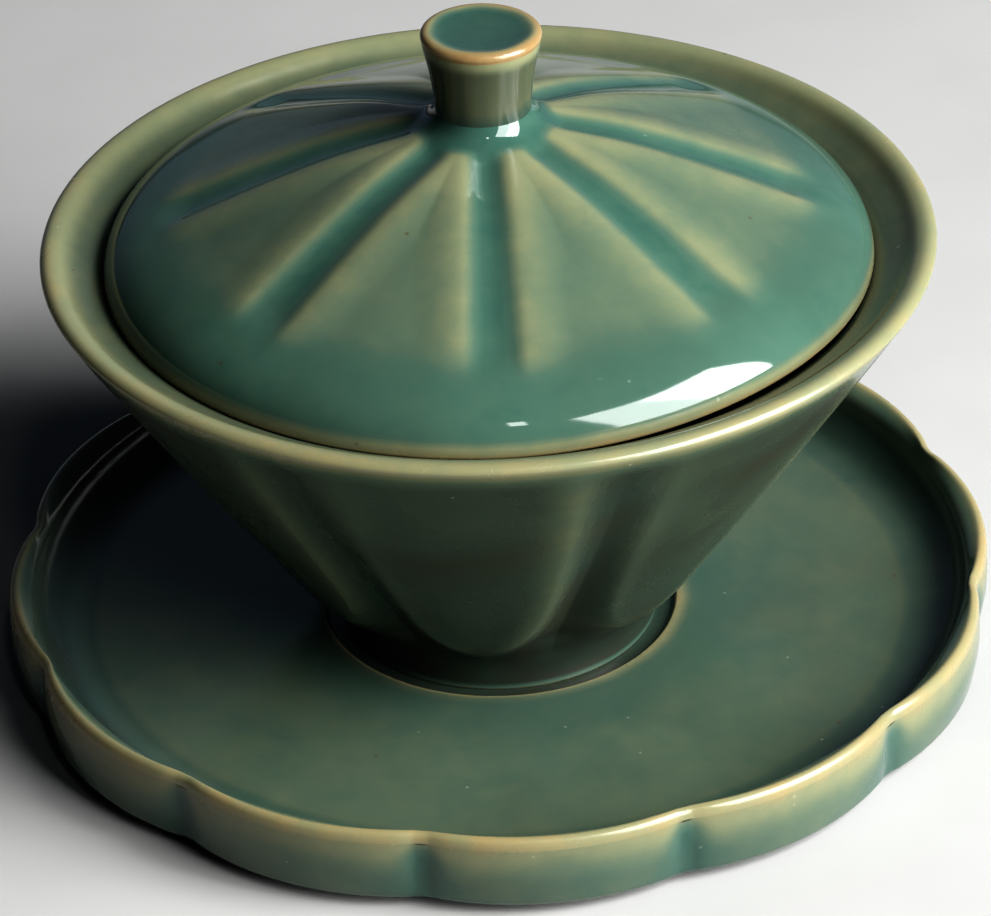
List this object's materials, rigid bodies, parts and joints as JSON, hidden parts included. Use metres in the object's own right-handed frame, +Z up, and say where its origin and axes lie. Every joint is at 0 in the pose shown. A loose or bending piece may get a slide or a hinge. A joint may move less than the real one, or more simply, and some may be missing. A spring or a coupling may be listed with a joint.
{
  "type": "gaiwan",
  "caption": "Covered tea bowl in celadon glaze: lobed saucer, fluted flaring bowl and a domed lid with a small knob, each lifting off the one below.",
  "frame": {"origin": "centre of the saucer's foot ring, on the surface that the set stands on", "axes": "+Z up along the common axis of saucer, bowl and lid; -Y is the front, +X is to the right of it"},
  "size_m": [0.1198, 0.1198, 0.082],
  "materials": {
    "saucer_glaze": "gloss celadon glaze, tan where thin along the rim, bare clay on the foot ring",
    "bowl_glaze": "gloss celadon glaze, olive where thin at the lip, teal where it pools in the grooves",
    "lid_glaze": "gloss celadon glaze, teal in the grooves and at the shoulder, olive on the ridges",
    "knob_glaze": "gloss celadon glaze, golden brown round the thin top edge"
  },
  "bodies": {
    "saucer": {"saucer": "saucer_glaze"},
    "bowl": {"bowl": "bowl_glaze"},
    "lid": {"lid": "lid_glaze", "lid_knob": "knob_glaze"}
  },
  "joints": [
    {"name": "bowl_lift", "type": "slide", "parent": "saucer", "child": "bowl", "axis": [0, 0, 1], "range_m": [0, 0.06]},
    {"name": "lid_lift", "type": "slide", "parent": "bowl", "child": "lid", "axis": [0, 0, 1], "range_m": [0, 0.06]}
  ]
}
